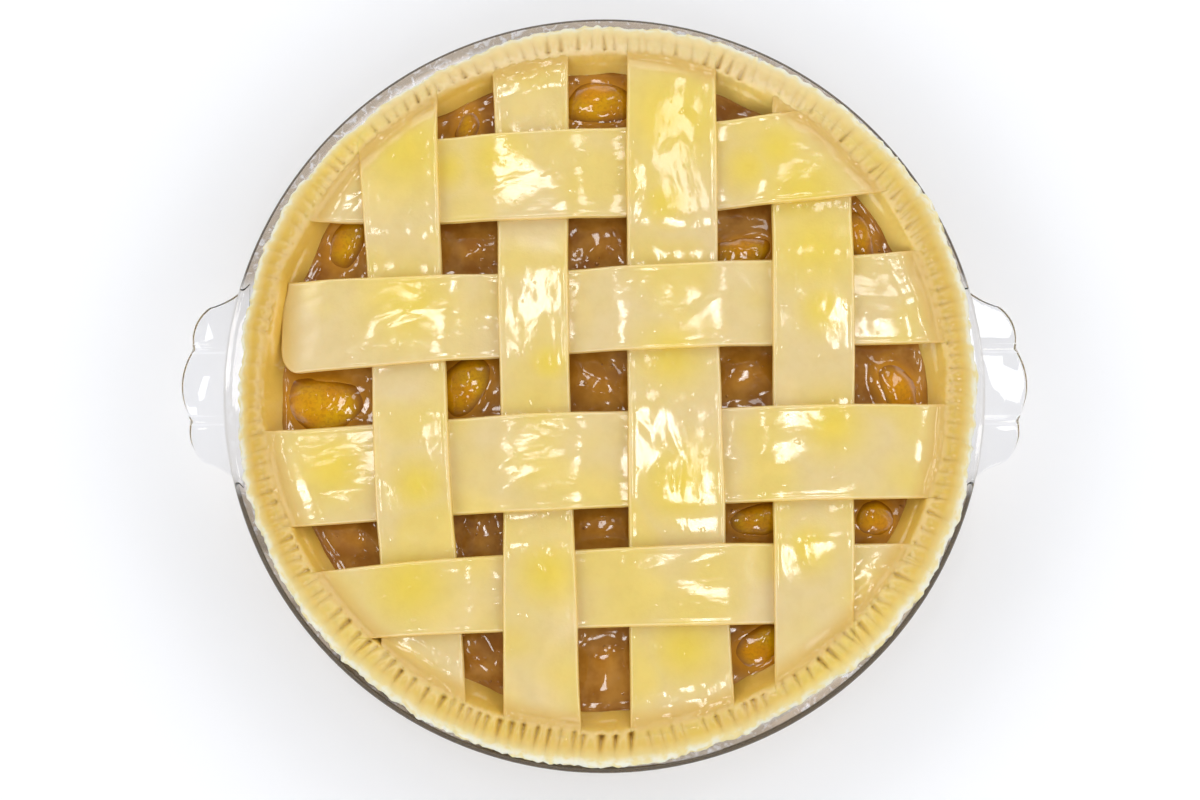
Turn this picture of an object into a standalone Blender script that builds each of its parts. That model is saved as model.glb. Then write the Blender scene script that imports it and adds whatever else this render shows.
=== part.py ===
"""Peach pie, ready for the oven: dough strips woven over sliced peaches in syrup, in a crust that is
crimped with a fork, in its own clear glass dish with a handle at each side.

Metres, +Z up. The origin is on the table under the middle of the dish. A handle points along +X, and the
strips called "down" run along Y."""

import math
import random

import bmesh
import bpy

# Glass dish
RIM_RADIUS = 0.126
RIM_TOP = 0.0432
RIM_THICKNESS = 0.0044
GLASS = 0.005
WALL_LEAN = math.radians(32)
MOUTH_RADIUS = 0.1135
HEEL_RADIUS = 0.008
LIP_ROUNDING = 0.003
SEGMENTS = 72

# Handles, one at each end of the dish
HANDLE_REACH = 0.1402
HANDLE_HALF_WIDTH = 0.0345
HANDLE_THICKNESS = 0.0042
HANDLE_TOP = 0.0418
HANDLE_EDGE = 0.0014
MIDDLE_LOBE_HALF_WIDTH = 0.012
NOTCH_REACH = 0.1366
SHOULDER_REACH = 0.1315
SHOULDER_HALF_WIDTH = 0.0262
HANDLE_ROOT = 0.1185

# Crust, a shell of dough whose edge lies on the rim
CLEAR = 0.0003
DOUGH = 0.0038
BAND_TOP = 0.0503
BAND_OUTER = 0.1217
BAND_OUTER_SHIFT = 0.0019
BAND_OUTER_SHIFT_TOWARDS = math.radians(-41)
BAND_INNER = 0.1122
BAND_INNER_SHIFT = 0.0013
BAND_INNER_SHIFT_TOWARDS = math.radians(-90)
# Unevenness of the outer edge: waves round the crust, size and phase
BAND_WAVES = ((5, 0.00035, 0.6), (11, 0.00030, 2.1), (17, 0.00020, 4.0))
# Section of the band, from under its outer edge to its inner edge: part of the way out from the inner edge,
# part of a fork mark's depth, and drop from the top of the band
BAND_SECTION = (
    (0.97, 0.0, 0.0059),
    (0.86, 0.2, 0.0026),
    (0.52, 0.6, 0.0),
    (0.10, 1.0, 0.0002),
)
BAND_REST_RADIUS = 0.1173
SHOULDER_DROP = 0.0011
SHOULDER_SETBACK = 0.0004
WALL_KNEE_RADIUS = 0.1088
WALL_KNEE = 0.0455

# Fork marks round the edge
FORK_MARKS = 144
FORK_DEPTH = 0.0023
FORK_DEPTH_LEAST = 0.45
FORK_JITTER = 0.22
FORK_SEED = 4
POINTS_PER_MARK = 3

# Filling
SYRUP_RADIUS = 0.1060
SYRUP_LEVEL = 0.0405
PEACH_DEPTH = 0.0085
PEACH_BEND = 0.30
PEACH_SEGMENTS = 12
PEACH_RINGS = 6
PEACH_GAP = 0.0004
# Peach slices that show between the strips: middle X, middle Y, height of the top over the syrup, length
# and width in millimetres, and turn in degrees
PEACHES = (
    (-1.7, 95.0, 1.9, 32, 20, 4),
    (-47.5, 91.5, 1.4, 22, 13, 70),
    (-85.0, 48.0, 1.5, 30, 17, 68),
    (-43.5, 47.5, 1.1, 24, 17, 20),
    (0.5, 47.0, 1.0, 26, 18, -25),
    (46.0, 45.5, 1.8, 28, 15, 10),
    (86.5, 50.0, 1.6, 26, 14, 104),
    (-92.5, -5.5, 2.1, 33, 23, -6),
    (-45.0, -1.0, 2.0, 28, 19, 60),
    (-1.5, 1.0, 1.1, 26, 19, -40),
    (46.5, 2.0, 1.2, 24, 17, 15),
    (98.0, -3.0, 1.7, 27, 15, 112),
    (-85.0, -53.0, 1.2, 28, 14, -20),
    (-41.0, -50.0, 1.0, 22, 14, 80),
    (-1.5, -48.0, 1.2, 26, 15, 5),
    (50.5, -44.0, 1.9, 26, 14, 14),
    (91.0, -46.5, 2.0, 17, 15, 0),
    (-41.0, -92.0, 1.2, 26, 14, -65),
    (0.5, -93.0, 1.2, 28, 18, 50),
    (50.0, -87.0, 1.8, 27, 16, 34),
)

# Lattice: each strip's middle line and width at its far end, halfway and near end, in millimetres. The far
# ends are at +Y and the near ends at -Y for the strips that run down, and at -X and +X for those across.
STRIP_THICKNESS = 0.0028
STRIP_EDGE = 0.0009
STRIP_REACH = 0.100
STRIP_END = 0.1165
# The one strip that stops short of the edge, at its far end
SHORT_STRIP = "strip_across_2"
SHORT_STRIP_END = 0.1045
LATTICE_LEVEL = 0.0463
LATTICE_DOME = 0.0012
CROSSING_NEAR_END = 0.085
LATTICE_HEADROOM = 0.004
STRIPS_DOWN = (
    ((-69.7, -63.7, -57.5), (27.6, 24.7, 26.5)),
    ((-24.5, -22.3, -19.8), (25.5, 23.0, 24.5)),
    ((22.8, 23.0, 25.0), (30.0, 30.6, 33.0)),
    ((69.5, 68.7, 67.0), (26.0, 26.8, 25.0)),
)
STRIPS_ACROSS = (
    ((67.5, 70.5, 79.5), (27.0, 31.0, 30.0)),
    ((18.2, 24.0, 28.0), (31.0, 28.3, 31.0)),
    ((-31.4, -25.5, -23.0), (32.0, 31.7, 31.0)),
    ((-73.5, -67.0, -65.5), (21.5, 25.7, 25.0)),
)
MILLIMETRE = 0.001

DOUGH_COLOUR = (0.80, 0.63, 0.27, 1)
STRIP_COLOUR = (0.82, 0.64, 0.20, 1)
FILLING_COLOUR = (0.40, 0.16, 0.02, 1)
GLASS_COLOUR = (0.90, 0.93, 0.92, 1)


def material(name, colour, roughness, transmission=0.0):
    made = bpy.data.materials.new(name)
    made.use_nodes = True
    shader = made.node_tree.nodes["Principled BSDF"]
    shader.inputs["Base Color"].default_value = colour
    shader.inputs["Roughness"].default_value = roughness
    shader.inputs["Metallic"].default_value = 0.0
    shader.inputs["Transmission Weight"].default_value = transmission
    made.diffuse_color = colour
    return made


def add_object(name, mesh_data, finish=None):
    made = bpy.data.objects.new(name, mesh_data)
    bpy.context.scene.collection.objects.link(made)
    if finish:
        mesh_data.materials.append(finish)
    return made


def finish_mesh(bm, name, smooth_angle=math.radians(35)):
    bmesh.ops.recalc_face_normals(bm, faces=bm.faces)
    mesh_data = bpy.data.meshes.new(name)
    bm.to_mesh(mesh_data)
    bm.free()
    mesh_data.shade_smooth()
    mesh_data.set_sharp_from_angle(angle=smooth_angle)
    return mesh_data


def guide(made):
    """Marks a cutter or a part of a union, which is not a piece of the pie."""
    made.hide_render = True
    made.display_type = "WIRE"
    return made


def wall_radius(height, inward=0.0):
    """Radius of the dish's inner wall, or of a surface that lies inside it by the given distance."""
    slope_run = (RIM_TOP - height) * math.tan(WALL_LEAN)
    return MOUTH_RADIUS - slope_run - inward / math.cos(WALL_LEAN)


def heel(inward, steps=2):
    """The rounded heel between base and wall, from the base up."""
    middle_height = GLASS + HEEL_RADIUS
    middle_radius = wall_radius(middle_height, HEEL_RADIUS)
    rounding = HEEL_RADIUS - inward
    points = []
    for step in range(steps + 1):
        angle = -math.pi / 2 + (math.pi / 2 - WALL_LEAN) * step / steps
        points.append((middle_radius + rounding * math.cos(angle), middle_height + rounding * math.sin(angle)))
    return points


def lip(outward, steps=2):
    """The rounded turn from the inner wall out to the top of the rim, from the wall up."""
    middle_height = RIM_TOP - LIP_ROUNDING
    middle_radius = wall_radius(middle_height, -LIP_ROUNDING)
    rounding = LIP_ROUNDING + outward
    points = []
    for step in range(steps + 1):
        angle = math.pi - WALL_LEAN - (math.pi / 2 - WALL_LEAN) * step / steps
        points.append((middle_radius + rounding * math.cos(angle), middle_height + rounding * math.sin(angle)))
    return points


def rim_edge(steps=4):
    """The rounded outer edge of the rim, from its underside up."""
    rounding = RIM_THICKNESS / 2
    points = []
    for step in range(steps + 1):
        angle = -math.pi / 2 + math.pi * step / steps
        radius = RIM_RADIUS - rounding + rounding * math.cos(angle)
        points.append((radius, RIM_TOP - rounding + rounding * math.sin(angle)))
    return points


def turned(bm, profile, segments=SEGMENTS):
    """Spins a profile of (radius, height) points, which starts and ends on the axis, round Z."""
    verts = [bm.verts.new((radius, 0, height)) for radius, height in profile]
    edges = [bm.edges.new(pair) for pair in zip(verts, verts[1:])]
    bmesh.ops.spin(bm, geom=verts + edges, axis=(0, 0, 1), cent=(0, 0, 0), angle=2 * math.pi, steps=segments)
    bmesh.ops.remove_doubles(bm, verts=bm.verts, dist=1e-6)


def arc(start, end, rise, steps):
    """Points on a circular arc from start to end. Its middle stands to the right of the line by rise."""
    if abs(rise) < 1e-9:
        return [start, end]
    chord_x, chord_y = end[0] - start[0], end[1] - start[1]
    chord = math.hypot(chord_x, chord_y)
    radius = (chord * chord / 4 + rise * rise) / (2 * rise)
    right_x, right_y = chord_y / chord, -chord_x / chord
    middle_x = (start[0] + end[0]) / 2 + right_x * (rise - radius)
    middle_y = (start[1] + end[1]) / 2 + right_y * (rise - radius)
    first = math.atan2(start[1] - middle_y, start[0] - middle_x)
    sweep = math.atan2(end[1] - middle_y, end[0] - middle_x) - first
    sweep = (sweep + math.pi) % (2 * math.pi) - math.pi
    points = []
    for step in range(steps + 1):
        angle = first + sweep * step / steps
        points.append((middle_x + abs(radius) * math.cos(angle), middle_y + abs(radius) * math.sin(angle)))
    return points


def handle_outline():
    """Three lobes that sweep into the rim, as seen from above, for the handle at +X."""
    root = (HANDLE_ROOT, -HANDLE_HALF_WIDTH)
    shoulder = (SHOULDER_REACH, -SHOULDER_HALF_WIDTH)
    notch = (NOTCH_REACH, -MIDDLE_LOBE_HALF_WIDTH)
    lower = arc(root, shoulder, -0.0012, 3)[:-1] + arc(shoulder, notch, 0.0024, 4)[:-1]
    upper = [(x, -y) for x, y in reversed(lower)]
    middle = arc(notch, (notch[0], -notch[1]), HANDLE_REACH - NOTCH_REACH, 6)
    return lower + middle + upper


def make_handle(side):
    bm = bmesh.new()
    outline = [(side * x, y) for x, y in handle_outline()]
    face = bm.faces.new([bm.verts.new((x, y, HANDLE_TOP - HANDLE_THICKNESS)) for x, y in outline])
    grown = bmesh.ops.extrude_face_region(bm, geom=[face])
    raised = [item for item in grown["geom"] if isinstance(item, bmesh.types.BMVert)]
    bmesh.ops.translate(bm, verts=raised, vec=(0, 0, HANDLE_THICKNESS))
    bmesh.ops.recalc_face_normals(bm, faces=bm.faces)
    rims = [edge for edge in bm.edges if abs(edge.verts[0].co.z - edge.verts[1].co.z) < 1e-6]
    bmesh.ops.bevel(bm, geom=rims, offset=HANDLE_EDGE, segments=1, affect="EDGES", clamp_overlap=True)
    return guide(add_object("handle_tool", finish_mesh(bm, "handle_tool")))


def make_dish():
    under_rim = RIM_TOP - RIM_THICKNESS
    outside = [(0.0, 0.0)] + heel(-GLASS, steps=4) + [(wall_radius(under_rim, -GLASS), under_rim)]
    inside = lip(0.0)[::-1] + heel(0.0, steps=3)[::-1] + [(0.0, GLASS)]
    bm = bmesh.new()
    turned(bm, outside + rim_edge() + inside)
    finish = material("clear_glass", GLASS_COLOUR, 0.05, transmission=1.0)
    dish = add_object("dish", finish_mesh(bm, "dish"), finish)
    for side in (1, -1):
        union = dish.modifiers.new("handle", "BOOLEAN")
        union.operation = "UNION"
        union.solver = "EXACT"
        union.object = make_handle(side)
    return dish


def ring(bm, count, place):
    """A closed ring of points. place gives the radius and height at an angle."""
    verts = []
    for index in range(count):
        angle = 2 * math.pi * index / count
        radius, height = place(angle)
        verts.append(bm.verts.new((radius * math.cos(angle), radius * math.sin(angle), height)))
    return verts


def level_ring(bm, radius, height, count=SEGMENTS):
    return ring(bm, count, lambda angle: (radius, height))


def join_rings(bm, coarse, fine):
    """Faces between two rings. The second may have a whole number of times as many points."""
    times = len(fine) // len(coarse)
    for index, corner in enumerate(coarse):
        after = coarse[(index + 1) % len(coarse)]
        if times == 1:
            bm.faces.new((corner, after, fine[(index + 1) % len(fine)], fine[index]))
            continue
        run = [fine[(index * times + step) % len(fine)] for step in range(times + 1)]
        half = times // 2
        for step in range(half):
            bm.faces.new((corner, run[step + 1], run[step]))
        bm.faces.new((corner, after, run[half]))
        for step in range(half, times):
            bm.faces.new((after, run[step + 1], run[step]))


def join_all(bm, rings):
    for ring_before, ring_after in zip(rings, rings[1:]):
        join_rings(bm, ring_before, ring_after)


def close_ring(bm, verts, height):
    middle = bm.verts.new((0, 0, height))
    for index, corner in enumerate(verts):
        bm.faces.new((corner, verts[(index + 1) % len(verts)], middle))


def band_wave(angle):
    return sum(size * math.sin(count * angle + phase) for count, size, phase in BAND_WAVES)


def band_outer(angle):
    return BAND_OUTER + BAND_OUTER_SHIFT * math.cos(angle - BAND_OUTER_SHIFT_TOWARDS) + band_wave(angle)


def band_inner(angle):
    return BAND_INNER + BAND_INNER_SHIFT * math.cos(angle - BAND_INNER_SHIFT_TOWARDS)


def shoulder(angle, inward=0.0):
    """The top of the crust's inner wall, where the band begins."""
    return band_inner(angle) - SHOULDER_SETBACK - inward, BAND_TOP - SHOULDER_DROP


def fork_marks():
    """Depth and sideways shift of each mark, from 0 to 1 and in parts of the distance between two marks."""
    draw = random.Random(FORK_SEED)
    depths = [FORK_DEPTH_LEAST + (1 - FORK_DEPTH_LEAST) * draw.random() for mark in range(FORK_MARKS)]
    shifts = [FORK_JITTER * (2 * draw.random() - 1) for mark in range(FORK_MARKS)]
    return depths, shifts


def band_ring(bm, marks, share, depth, height):
    """A ring of the crimped band, share of the way from its inner to its outer edge."""
    depths, shifts = marks
    verts = []
    for index in range(FORK_MARKS * POINTS_PER_MARK):
        mark = index // POINTS_PER_MARK
        angle = 2 * math.pi * (index / POINTS_PER_MARK + shifts[mark]) / FORK_MARKS
        radius = band_inner(angle) + (band_outer(angle) - band_inner(angle)) * share
        sunk = depth * depths[mark] if index % POINTS_PER_MARK == 1 else 0.0
        verts.append(bm.verts.new((radius * math.cos(angle), radius * math.sin(angle), height - sunk)))
    return verts


def inner_wall(inward):
    """The crust's inside from the syrup's edge up to the knee of its wall, as (radius, height)."""
    return [(SYRUP_RADIUS - inward, SYRUP_LEVEL), (WALL_KNEE_RADIUS - inward, WALL_KNEE)]


def make_crust():
    bm = bmesh.new()
    marks = fork_marks()
    underside = heel(CLEAR) + lip(CLEAR) + [(BAND_REST_RADIUS, RIM_TOP + CLEAR)]
    rings = [level_ring(bm, radius, height) for radius, height in underside]
    close_ring(bm, rings[0], underside[0][1])
    for share, depth, drop in BAND_SECTION:
        rings.append(band_ring(bm, marks, share, FORK_DEPTH * depth, BAND_TOP - drop))
    rings.append(ring(bm, FORK_MARKS * POINTS_PER_MARK, shoulder))
    join_all(bm, rings)
    inside = inner_wall(0.0)[::-1] + heel(CLEAR + DOUGH)[::-1]
    inner_rings = [level_ring(bm, radius, height) for radius, height in inside]
    join_rings(bm, inner_rings[0], rings[-1])
    join_all(bm, inner_rings)
    close_ring(bm, inner_rings[-1], inside[-1][1])
    finish = material("crust_dough", DOUGH_COLOUR, 0.45)
    return add_object("crust", finish_mesh(bm, "crust"), finish)


def make_room(name, inward):
    """The room inside the crust, which what lies in it is trimmed to."""
    bm = bmesh.new()
    walls = heel(CLEAR + DOUGH + inward) + inner_wall(inward)
    rings = [level_ring(bm, radius, height) for radius, height in walls]
    rings.append(ring(bm, SEGMENTS, lambda angle: shoulder(angle, inward)))
    ceiling = BAND_TOP + LATTICE_HEADROOM
    rings.append(ring(bm, SEGMENTS, lambda angle: (shoulder(angle, inward)[0], ceiling)))
    close_ring(bm, rings[0], walls[0][1])
    join_all(bm, rings)
    close_ring(bm, rings[-1], ceiling)
    return guide(add_object(name, finish_mesh(bm, name)))


def trim_to(made, room):
    trimmed = made.modifiers.new("trim", "BOOLEAN")
    trimmed.operation = "INTERSECT"
    trimmed.solver = "EXACT"
    trimmed.object = room


def make_filling():
    """The syrup up to its level, with the peach slices that stand out of it."""
    room = make_room("peach_room", CLEAR + PEACH_GAP)
    bm = bmesh.new()
    sides = heel(CLEAR + DOUGH + CLEAR) + [inner_wall(CLEAR)[0]]
    rings = [level_ring(bm, radius, height) for radius, height in sides]
    close_ring(bm, rings[0], sides[0][1])
    join_all(bm, rings)
    bm.faces.new(rings[-1])
    finish = material("peaches_in_syrup", FILLING_COLOUR, 0.15)
    filling = add_object("filling", finish_mesh(bm, "filling"), finish)
    slices = bpy.data.collections.new("peach_slices")
    for number, placing in enumerate(PEACHES):
        peach = make_peach(number, *placing)
        trim_to(peach, room)
        slices.objects.link(peach)
    union = filling.modifiers.new("slices", "BOOLEAN")
    union.operation = "UNION"
    union.solver = "EXACT"
    union.operand_type = "COLLECTION"
    union.collection = slices
    bpy.context.view_layer.update()
    fused = bpy.data.meshes.new_from_object(filling.evaluated_get(bpy.context.evaluated_depsgraph_get()))
    filling.modifiers.clear()
    filling.data = fused
    for peach in list(slices.objects):
        bpy.data.objects.remove(peach)
    bpy.data.collections.remove(slices)
    return filling


def make_peach(number, middle_x, middle_y, rise, length, width, turn):
    """A slice lying in the syrup: a long rounded body, bent a little along its length."""
    bm = bmesh.new()
    bmesh.ops.create_uvsphere(bm, u_segments=PEACH_SEGMENTS, v_segments=PEACH_RINGS, radius=1.0)
    half_length, half_width = length * MILLIMETRE / 2, width * MILLIMETRE / 2
    side = 1 if number % 2 else -1
    turn = math.radians(turn)
    for vert in bm.verts:
        along, across, up = vert.co.x, vert.co.y, vert.co.z
        x = along * half_length
        y = across * half_width + side * PEACH_BEND * half_width * (along * along - 0.5)
        vert.co.x = middle_x * MILLIMETRE + x * math.cos(turn) - y * math.sin(turn)
        vert.co.y = middle_y * MILLIMETRE + x * math.sin(turn) + y * math.cos(turn)
        vert.co.z = SYRUP_LEVEL + rise * MILLIMETRE + (up - 1) * PEACH_DEPTH / 2
    return add_object("peach_%02d" % number, finish_mesh(bm, "peach"))


def between(values, along):
    """A smooth curve through the values at the far end, halfway and the near end; along is 1, 0 and -1."""
    far, middle, near = values
    value = middle + (far - near) / 2 * along + ((far + near) / 2 - middle) * along * along
    return value * MILLIMETRE


class Strip:
    """A dough strip. Its route is measured along t, which is Y for a strip down and X for one across."""

    def __init__(self, name, down, lines, widths):
        self.name = name
        self.down = down
        self.lines = lines
        self.widths = widths

    def share(self, t):
        return t / STRIP_REACH if self.down else -t / STRIP_REACH

    def middle(self, t):
        return between(self.lines, self.share(t))

    def half_width(self, t):
        return between(self.widths, self.share(t)) / 2

    def place(self, t, across):
        return (across, t) if self.down else (t, across)

    def cover(self, other):
        """The stretch of this strip's t that the other strip crosses."""
        t = other.middle(self.middle(0))
        side_a = self.middle(t) - self.half_width(t)
        side_b = self.middle(t) + self.half_width(t)
        low = min(other.middle(side) - other.half_width(side) for side in (side_a, side_b))
        high = max(other.middle(side) + other.half_width(side) for side in (side_a, side_b))
        return low, high


def lattice():
    down = [Strip("strip_down_%d" % (n + 1), True, *sizes) for n, sizes in enumerate(STRIPS_DOWN)]
    across = [Strip("strip_across_%d" % (n + 1), False, *sizes) for n, sizes in enumerate(STRIPS_ACROSS)]
    return down, across


def lattice_level(x, y):
    return LATTICE_LEVEL + LATTICE_DOME * (1 - (x * x + y * y) / SYRUP_RADIUS ** 2)


def strip_section():
    """Corners of a strip's cross-section as (side, inset, height): side -1 or 1, inset from the edge."""
    top, bottom = STRIP_THICKNESS / 2, -STRIP_THICKNESS / 2
    right = [(1, STRIP_EDGE / 2, bottom), (1, 0.0, bottom + STRIP_EDGE / 2), (1, 0.0, top - STRIP_EDGE)]
    right.append((1, STRIP_EDGE, top))
    left = [(-side, inset, height) for side, inset, height in reversed(right)]
    return right + left


def strip_stations(strip, others, over_even, number):
    """Places along a strip with how far it lies over (+) or under (-) the middle of the lattice.

    It crosses over every second strip. At its ends it comes back to the middle of the lattice, unless its
    last crossing is near the end."""
    lift = (STRIP_THICKNESS + CLEAR) / 2
    level = []
    for other_number, other in enumerate(others):
        over = ((number + other_number) % 2 == 0) == over_even
        low, high = strip.cover(other)
        level += [(low, lift if over else -lift), (high, lift if over else -lift)]
    level.sort()
    first_t, first_offset = level[0]
    last_t, last_offset = level[-1]
    far_end = SHORT_STRIP_END if strip.name == SHORT_STRIP else STRIP_END
    level.insert(0, (-far_end, first_offset if first_t < -CROSSING_NEAR_END else 0.0))
    level.append((STRIP_END, last_offset if last_t > CROSSING_NEAR_END else 0.0))
    return ease(level)


def ease(level):
    """Adds two places in each stretch where the height changes, so that it rises and falls smoothly."""
    eased = [level[0]]
    for (t, offset), (next_t, next_offset) in zip(level, level[1:]):
        if offset != next_offset:
            for part in (0.3, 0.7):
                blend = part * part * (3 - 2 * part)
                eased.append((t + (next_t - t) * part, offset + (next_offset - offset) * blend))
        eased.append((next_t, next_offset))
    return eased


def make_strip(strip, stations, finish):
    bm = bmesh.new()
    section = strip_section()
    rows = []
    for t, offset in stations:
        row = []
        for side, inset, height in section:
            across = strip.middle(t) + side * (strip.half_width(t) - inset)
            x, y = strip.place(t, across)
            row.append(bm.verts.new((x, y, lattice_level(x, y) + offset + height)))
        rows.append(row)
    for row, following in zip(rows, rows[1:]):
        for index in range(len(section)):
            after = (index + 1) % len(section)
            bm.faces.new((row[index], row[after], following[after], following[index]))
    bm.faces.new(rows[0])
    bm.faces.new(rows[-1])
    return add_object(strip.name, finish_mesh(bm, strip.name), finish)


def make_lattice():
    down, across = lattice()
    room = make_room("strip_room", CLEAR)
    for strips, others, over_even in ((down, across, True), (across, down, False)):
        for number, strip in enumerate(strips):
            finish = material(strip.name + "_dough", STRIP_COLOUR, 0.35)
            trim_to(make_strip(strip, strip_stations(strip, others, over_even, number), finish), room)


for existing in list(bpy.data.objects):
    bpy.data.objects.remove(existing)

make_dish()
make_crust()
make_filling()
make_lattice()
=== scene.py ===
"""The looks of a peach pie that is ready for the oven: dough strips woven over sliced peaches in syrup, in a
crimped crust, in its own clear glass dish. Metres, +Z up, with a handle of the dish along +X.

The sections follow the pie as it is put together: table, dish, crust, filling, lattice."""

import math
import random

import bpy
import numpy as np
from mathutils import Euler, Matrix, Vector
from mathutils.noise import noise as noise_at


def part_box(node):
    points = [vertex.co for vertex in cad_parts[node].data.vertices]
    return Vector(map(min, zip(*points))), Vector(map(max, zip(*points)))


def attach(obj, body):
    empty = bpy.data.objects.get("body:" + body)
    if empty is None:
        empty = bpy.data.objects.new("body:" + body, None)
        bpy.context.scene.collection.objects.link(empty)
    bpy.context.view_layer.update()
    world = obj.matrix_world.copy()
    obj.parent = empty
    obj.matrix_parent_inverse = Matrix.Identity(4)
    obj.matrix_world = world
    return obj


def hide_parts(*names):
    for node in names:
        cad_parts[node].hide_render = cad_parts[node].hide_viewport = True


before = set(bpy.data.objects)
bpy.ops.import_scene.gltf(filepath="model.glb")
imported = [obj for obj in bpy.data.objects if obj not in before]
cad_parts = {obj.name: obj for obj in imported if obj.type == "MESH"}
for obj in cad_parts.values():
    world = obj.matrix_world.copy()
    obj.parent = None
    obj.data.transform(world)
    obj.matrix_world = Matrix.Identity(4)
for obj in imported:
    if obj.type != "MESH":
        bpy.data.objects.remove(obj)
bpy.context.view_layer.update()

# The table is a plain white top. The light is a white room, darker straight above where the camera hangs,
# with soft boxes near the camera that show as white patches in the egg wash. The camera looks down, leaning
# a little to the near side.
TABLE_SIZE = 30.0
TABLE_WHITE = (0.965, 0.970, 0.990, 1)
ROOM_WHITE = (0.98, 0.99, 1.01, 1)
# The room's brightness by height, from the floor's level (0) to straight above (1)
ROOM_BRIGHTNESS = ((0.0, 0.93), (0.25, 1.26), (0.40, 1.88), (0.66, 1.88), (0.78, 0.30), (1.0, 0.04))
# Each soft box: turn from +X and lean from straight up in degrees, distance, width, length and brightness
SOFT_BOXES = (
    (20, 8.5, 1.25, 0.12, 0.16, 8.2),
    (112, 16.5, 1.28, 0.15, 0.11, 8.2),
    (152, 12, 1.25, 0.07, 0.12, 7.6),
    (60, 24, 1.30, 0.16, 0.14, 4.2),
    (-74, 30, 1.35, 0.20, 0.14, 9.0),
    (42, 9.6, 1.20, 0.06, 0.05, 8.6),
    (8, 4.6, 1.20, 0.05, 0.035, 8.6),
)
CAMERA_AIM = Vector((-0.0012, -0.0052, 0.041))
CAMERA_DISTANCE = 0.520
CAMERA_LEAN = math.radians(7.61)
CAMERA_ROLL = math.radians(0.455)
CAMERA_LENS = 47.14


def feed(node, inputs):
    """Sets a node's inputs. Each is a number or a colour, or the socket that it comes from."""
    for name, value in inputs.items():
        if isinstance(value, bpy.types.NodeSocket):
            node.id_data.links.new(value, node.inputs[name])
        else:
            node.inputs[name].default_value = value


def add_node(tree, kind, inputs, **settings):
    node = tree.nodes.new(kind)
    for setting, value in settings.items():
        setattr(node, setting, value)
    feed(node, inputs)
    return node


def xyz_of(where):
    return add_node(where.id_data, "ShaderNodeSeparateXYZ", {0: where}).outputs


def make_table():
    bpy.ops.mesh.primitive_plane_add(size=TABLE_SIZE)
    table = bpy.context.object
    table.name = "table"
    white = bpy.data.materials.new("white_table")
    white.use_nodes = True
    shader = white.node_tree.nodes["Principled BSDF"]
    feed(shader, {"Base Color": TABLE_WHITE, "Roughness": 0.6, "Specular IOR Level": 0.2})
    table.data.materials.append(white)


def hang_soft_box(turn, lean, distance, width, length, brightness):
    lamp = bpy.data.lights.new("soft_box", "AREA")
    lamp.shape = "RECTANGLE"
    lamp.size = width
    lamp.size_y = length
    lamp.energy = brightness * math.pi * width * length
    box = bpy.data.objects.new("soft_box", lamp)
    bpy.context.scene.collection.objects.link(box)
    turned = Euler((0, math.radians(lean), math.radians(turn)), "XYZ")
    box.rotation_euler = turned
    box.location = turned.to_matrix() @ Vector((0, 0, distance))


def light_room():
    room = bpy.data.worlds.new("white_room")
    room.use_nodes = True
    tree = room.node_tree
    towards = add_node(tree, "ShaderNodeTexCoord", {}).outputs["Generated"]
    ramp = add_node(tree, "ShaderNodeValToRGB", {0: xyz_of(towards)["Z"]})
    while len(ramp.color_ramp.elements) < len(ROOM_BRIGHTNESS):
        ramp.color_ramp.elements.new(0.5)
    for element, (level, brightness) in zip(ramp.color_ramp.elements, ROOM_BRIGHTNESS):
        element.position = level
        element.color = [brightness * part for part in ROOM_WHITE[:3]] + [1]
    feed(tree.nodes["Background"], {"Color": ramp.outputs["Color"]})
    bpy.context.scene.world = room
    bpy.context.scene.view_settings.view_transform = "Standard"


def set_camera():
    camera = bpy.data.objects.new("camera", bpy.data.cameras.new("camera"))
    bpy.context.scene.collection.objects.link(camera)
    camera.data.lens = CAMERA_LENS
    camera.rotation_euler = (CAMERA_LEAN, CAMERA_ROLL, 0)
    camera.location = CAMERA_AIM + camera.rotation_euler.to_matrix() @ Vector((0, 0, CAMERA_DISTANCE))
    bpy.context.scene.camera = camera


make_table()
for soft_box in SOFT_BOXES:
    hang_soft_box(*soft_box)
set_camera()
light_room()


# The dish is one piece of clear pressed glass with a sloping wall, a thick flat rim and a three-lobed handle
# at each side. It is turned here from a disc, ring by ring, and the handles are fused to the rim.
dish_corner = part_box("dish")[1]
RIM_RADIUS = dish_corner.y
RIM_TOP = dish_corner.z
HANDLE_REACH = dish_corner.x
RIM_THICKNESS = 0.0044
GLASS = 0.005
WALL_LEAN = math.radians(32)
MOUTH_RADIUS = 0.1135
HEEL_RADIUS = 0.008
LIP_ROUNDING = 0.003
UNDER_RIM_ROUNDING = 0.0024
BASE_RECESS = 0.0005
BASE_RECESS_RADIUS = 0.074
BASE_RECESS_SLOPE = 0.002
DISH_POINTS = 192
# Where a handle's edge leaves the rim, turns at its shoulder and dips between two lobes, for the half at -Y
HANDLE_ROOT = (0.1185, -0.0345)
SHOULDER = (0.1315, -0.0262)
NOTCH = (0.1366, -0.012)
HANDLE_TOP = 0.0418
HANDLE_THICKNESS = 0.0042
HANDLE_ROUNDING = 0.0018
HANDLE_SWEEP = 0.0012
SIDE_LOBE_RISE = 0.0024
GLASS_CLEAR = (0.955, 0.962, 0.982, 1)
GLASS_SHADOW = (0.925, 0.930, 0.940, 1)
# Painted refraction and shade: the rim bends the dough's brown and the room's shade to the eye, which is
# painted into the glass's colour, darkest in a line along its outer edge
RIM_DARK = (0.016, 0.008, 0.002, 1)
RIM_BROWN = (0.030, 0.016, 0.006, 1)
RIM_TAN = (0.370, 0.270, 0.180, 1)
RIM_PAINTED_SHEEN = (0.700, 0.680, 0.700, 1)
RIM_SHADE_RADII = (0.1195, 0.1225)
RIM_SHADE_DEPTHS = (0.0022, 0.0012)
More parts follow.
